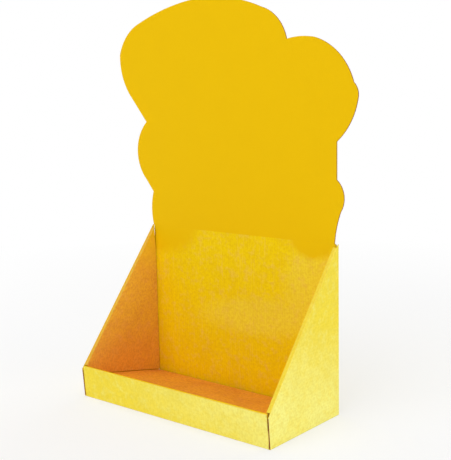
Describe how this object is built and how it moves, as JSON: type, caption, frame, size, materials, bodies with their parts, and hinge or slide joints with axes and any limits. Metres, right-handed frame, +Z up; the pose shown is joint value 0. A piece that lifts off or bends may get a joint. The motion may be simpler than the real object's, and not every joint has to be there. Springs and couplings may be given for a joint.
{
  "type": "counter display",
  "caption": "Counter display folded from corrugated board: open tray with sloping double walls, low front lip, sloping shelf and a tall back that ends in a lobed header card.",
  "frame": {"origin": "centre of the base panel's underside, on the counter", "axes": "+X to the right seen from the front, +Y to the back, +Z up"},
  "size_m": [0.3536, 0.1294, 0.4683],
  "materials": {
    "printed_outside": "yellow print on the board's outer liner, matt",
    "printed_tray": "golden yellow print on the tray side, matt and slightly mottled",
    "printed_header": "even golden yellow print, matt"
  },
  "bodies": {
    "base": {"base_panel": "printed_outside"},
    "back": {"back_panel": "printed_tray"},
    "header": {"header_panel": "printed_header"},
    "front": {"front_outer_panel": "printed_outside"},
    "lip": {"front_lip_strip": "printed_outside"},
    "lip_inner": {"front_inner_panel": "printed_tray"},
    "shelf": {"shelf_panel": "printed_tray"},
    "right_wing": {"right_wing_outer_panel": "printed_outside"},
    "right_wing_edge": {"right_wing_edge_strip": "printed_outside"},
    "right_wing_inner": {"right_wing_inner_panel": "printed_tray"},
    "left_wing": {"left_wing_outer_panel": "printed_outside"},
    "left_wing_edge": {"left_wing_edge_strip": "printed_outside"},
    "left_wing_inner": {"left_wing_inner_panel": "printed_tray"},
    "right_back_flap": {"right_back_flap": "printed_outside"},
    "left_back_flap": {"left_back_flap": "printed_outside"},
    "right_front_flap": {"right_front_flap": "printed_outside"},
    "left_front_flap": {"left_front_flap": "printed_outside"}
  },
  "joints": [
    {"name": "back_fold", "type": "hinge", "parent": "base", "child": "back", "pos_m": [0, 0.06325, 0], "axis": [-1, 0, 0], "range_deg": [0, 90]},
    {"name": "header_fold", "type": "hinge", "parent": "back", "child": "header", "pos_m": [0, 0.0616, 0.193], "axis": [1, 0, 0], "range_deg": [0, 135]},
    {"name": "front_fold", "type": "hinge", "parent": "base", "child": "front", "pos_m": [0, -0.06325, 0], "axis": [1, 0, 0], "range_deg": [0, 85.5]},
    {"name": "lip_edge_fold", "type": "hinge", "parent": "front", "child": "lip", "pos_m": [0, -0.06624, 0.03798], "axis": [1, 0, 0], "range_deg": [0, 90]},
    {"name": "lip_return_fold", "type": "hinge", "parent": "lip", "child": "lip_inner", "pos_m": [0, -0.06295, 0.03824], "axis": [1, 0, 0], "range_deg": [0, 90]},
    {"name": "shelf_fold", "type": "hinge", "parent": "lip_inner", "child": "shelf", "pos_m": [0, -0.06213, 0.02777], "axis": [-1, 0, 0], "range_deg": [0, 74.1]},
    {"name": "right_wing_fold", "type": "hinge", "parent": "base", "child": "right_wing", "pos_m": [0.14, 0, 0], "axis": [0, 1, 0], "range_deg": [0, 90]},
    {"name": "right_wing_edge_fold", "type": "hinge", "parent": "right_wing", "child": "right_wing_edge", "pos_m": [0.14, -0.06325, 0.0389], "axis": [0, 0.6296, 0.7769], "range_deg": [0, 90]},
    {"name": "right_wing_inner_fold", "type": "hinge", "parent": "right_wing_edge", "child": "right_wing_inner", "pos_m": [0.1349, -0.06325, 0.0389], "axis": [0, 0.6296, 0.7769], "range_deg": [0, 90]},
    {"name": "left_wing_fold", "type": "hinge", "parent": "base", "child": "left_wing", "pos_m": [-0.14, 0, 0], "axis": [0, -1, 0], "range_deg": [0, 90]},
    {"name": "left_wing_edge_fold", "type": "hinge", "parent": "left_wing", "child": "left_wing_edge", "pos_m": [-0.14, -0.06325, 0.0389], "axis": [0, -0.6296, -0.7769], "range_deg": [0, 90]},
    {"name": "left_wing_inner_fold", "type": "hinge", "parent": "left_wing_edge", "child": "left_wing_inner", "pos_m": [-0.1349, -0.06325, 0.0389], "axis": [0, -0.6296, -0.7769], "range_deg": [0, 90]},
    {"name": "right_back_flap_fold", "type": "hinge", "parent": "back", "child": "right_back_flap", "pos_m": [0.1382, 0.06325, 0], "axis": [0, 0, 1], "range_deg": [0, 90]},
    {"name": "left_back_flap_fold", "type": "hinge", "parent": "back", "child": "left_back_flap", "pos_m": [-0.1382, 0.06325, 0], "axis": [0, 0, -1], "range_deg": [0, 90]},
    {"name": "right_front_flap_fold", "type": "hinge", "parent": "front", "child": "right_front_flap", "pos_m": [0.1382, -0.06325, 0], "axis": [0, 0.0785, -0.9969], "range_deg": [0, 90]},
    {"name": "left_front_flap_fold", "type": "hinge", "parent": "front", "child": "left_front_flap", "pos_m": [-0.1382, -0.06325, 0], "axis": [0, -0.0785, 0.9969], "range_deg": [0, 90]}
  ],
  "couplings": [
    {"joint": "lip_edge_fold", "follows": "front_fold", "ratio": 1.0526},
    {"joint": "lip_return_fold", "follows": "front_fold", "ratio": 1.0526},
    {"joint": "shelf_fold", "follows": "front_fold", "ratio": 0.86629},
    {"joint": "right_wing_edge_fold", "follows": "right_wing_fold", "ratio": 1},
    {"joint": "right_wing_inner_fold", "follows": "right_wing_fold", "ratio": 1},
    {"joint": "right_back_flap_fold", "follows": "right_wing_fold", "ratio": 1},
    {"joint": "right_front_flap_fold", "follows": "right_wing_fold", "ratio": 1},
    {"joint": "left_wing_edge_fold", "follows": "left_wing_fold", "ratio": 1},
    {"joint": "left_wing_inner_fold", "follows": "left_wing_fold", "ratio": 1},
    {"joint": "left_back_flap_fold", "follows": "left_wing_fold", "ratio": 1},
    {"joint": "left_front_flap_fold", "follows": "left_wing_fold", "ratio": 1}
  ]
}
